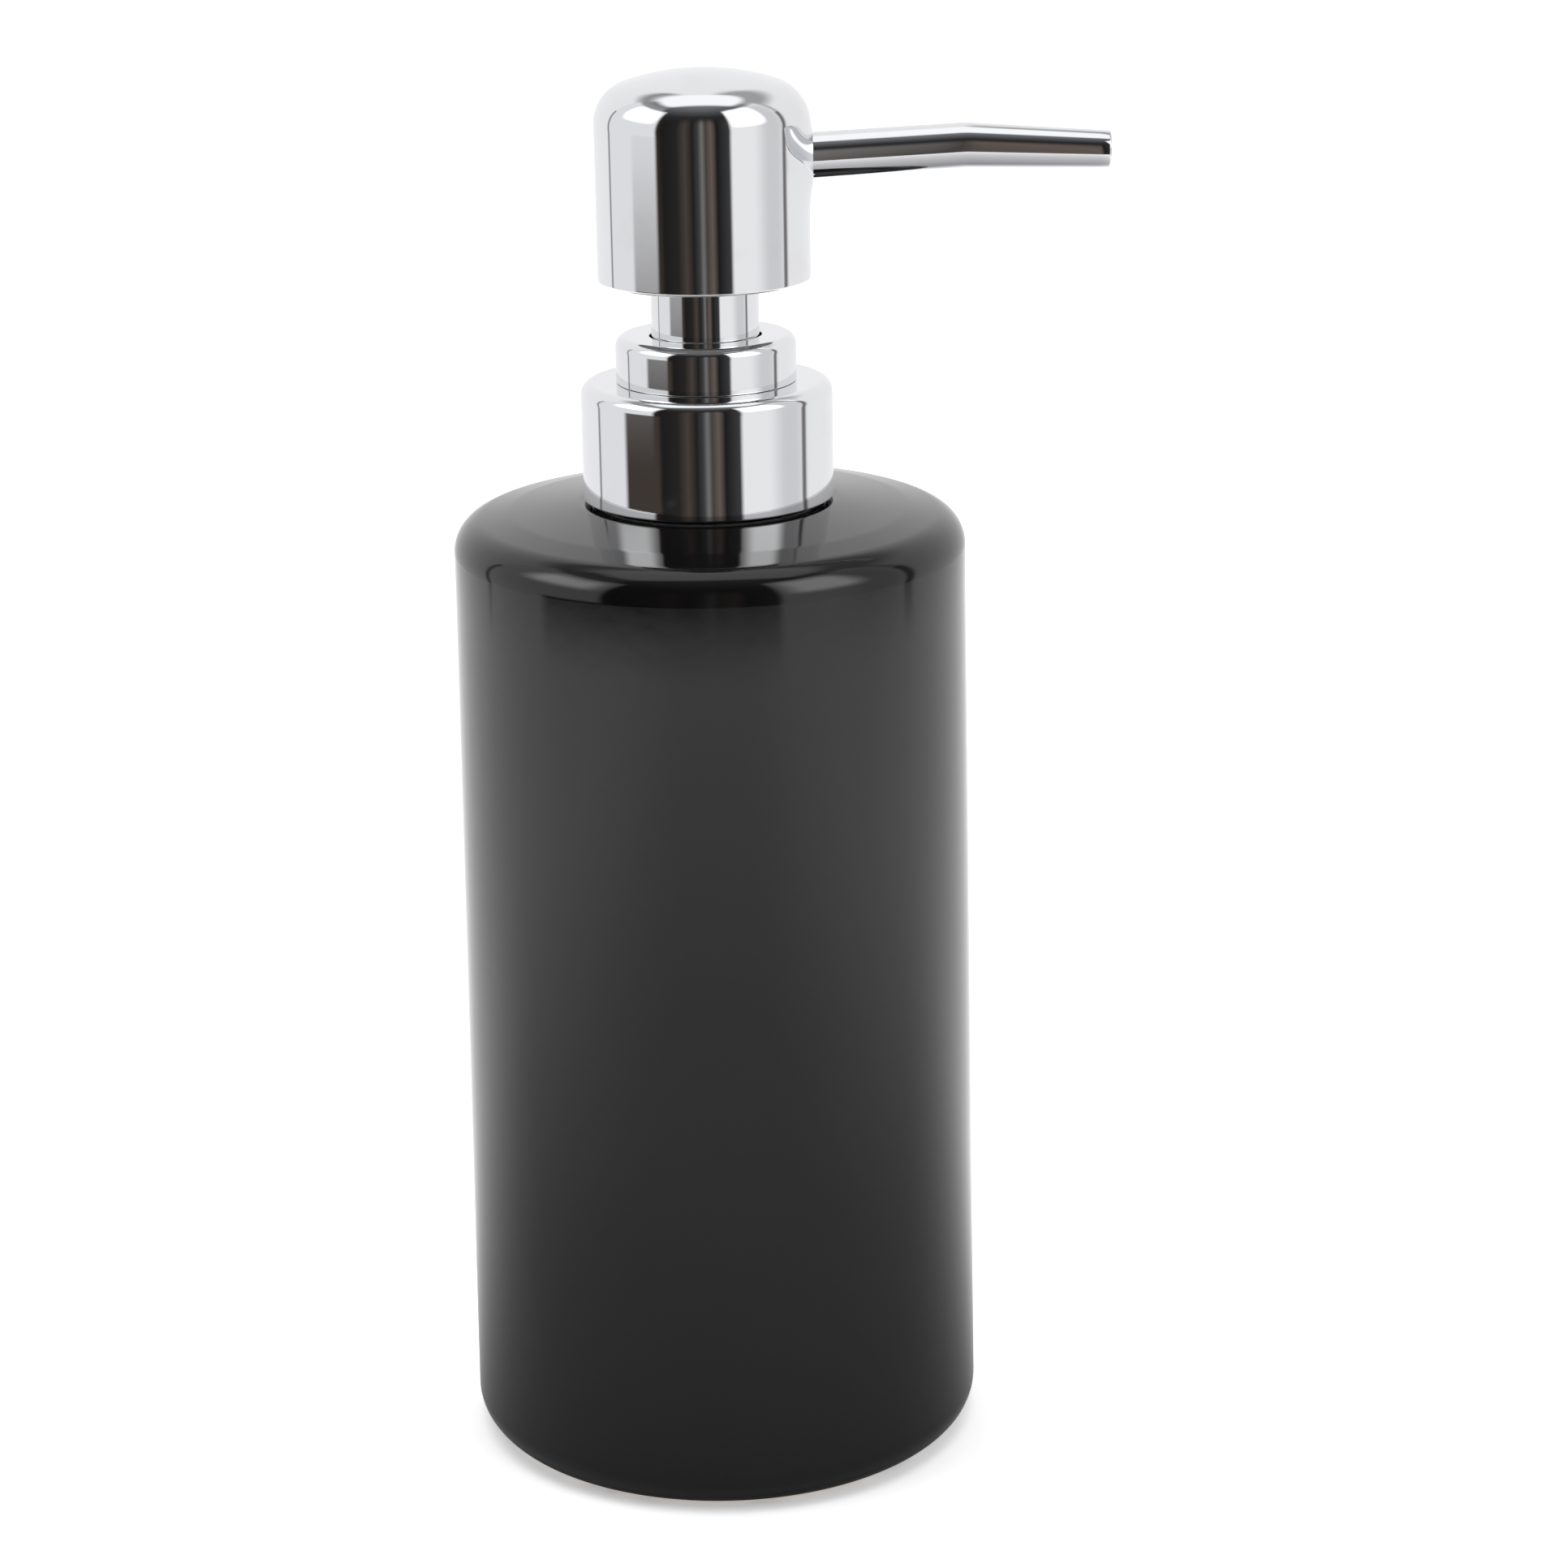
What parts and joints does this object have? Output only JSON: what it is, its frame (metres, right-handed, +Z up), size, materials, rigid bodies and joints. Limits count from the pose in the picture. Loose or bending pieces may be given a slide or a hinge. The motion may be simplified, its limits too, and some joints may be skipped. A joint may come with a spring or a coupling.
{
  "type": "soap pump dispenser",
  "caption": "Glazed ceramic soap bottle with a chromed press pump: domed head with a long side spout, sliding stem, screw collar and dip tube.",
  "frame": {"origin": "centre of the bottle's flat underside, on the surface that it stands on", "axes": "+Z up along the bottle's axis, +X along the spout"},
  "size_m": [0.088, 0.07, 0.188],
  "materials": {
    "glaze": "black high-gloss glaze",
    "chrome": "bright chrome plate",
    "white_plastic": "moulded white polypropylene",
    "natural_plastic": "milky natural polypropylene",
    "soft_seal": "soft grey polyethylene",
    "black_rubber": "black nitrile rubber",
    "spring_steel": "drawn stainless wire",
    "ball_glass": "pale green glass bead"
  },
  "bodies": {
    "bottle": {"bottle": "glaze", "neck_insert": "white_plastic"},
    "pump_unit": {"pump_housing": "natural_plastic", "housing_plug": "white_plastic", "stem_seal": "black_rubber", "guide_ring": "chrome", "neck_gasket": "soft_seal", "dip_tube": "natural_plastic", "return_spring": "spring_steel"},
    "closure": {"screw_cap": "white_plastic", "collar_shell": "chrome"},
    "plunger": {"stem": "white_plastic", "piston_seat": "white_plastic"},
    "piston": {"piston": "soft_seal"},
    "inlet_ball": {"inlet_ball": "ball_glass"},
    "head": {"head_cap": "chrome", "spout_tube": "chrome", "actuator_core": "white_plastic", "stem_sleeve": "chrome", "spout_seal": "black_rubber"}
  },
  "joints": [
    {"name": "pump_rise", "type": "slide", "parent": "bottle", "child": "pump_unit", "axis": [0, 0, 1], "range_m": [0, 0.00635]},
    {"name": "closure_turn", "type": "hinge", "parent": "pump_unit", "child": "closure", "pos_m": [0, 0, 0.14], "axis": [0, 0, 1], "range_deg": [0, 540]},
    {"name": "head_press", "type": "slide", "parent": "pump_unit", "child": "plunger", "axis": [0, 0, -1], "range_m": [0, 0.012], "stiffness_N_per_m": 500, "springref_m": -0.012, "deforming": ["return_spring"]},
    {"name": "head_swivel", "type": "hinge", "parent": "plunger", "child": "head", "pos_m": [0, 0, 0.17], "axis": [0, 0, 1], "continuous": true},
    {"name": "piston_slip", "type": "slide", "parent": "plunger", "child": "piston", "axis": [0, 0, 1], "range_m": [0, 0.0012]},
    {"name": "ball_lift", "type": "slide", "parent": "pump_unit", "child": "inlet_ball", "axis": [0, 0, 1], "range_m": [0, 0.0012]}
  ],
  "couplings": [
    {"joint": "closure_turn", "follows": "pump_rise", "rad_per_m": 1484.2}
  ]
}
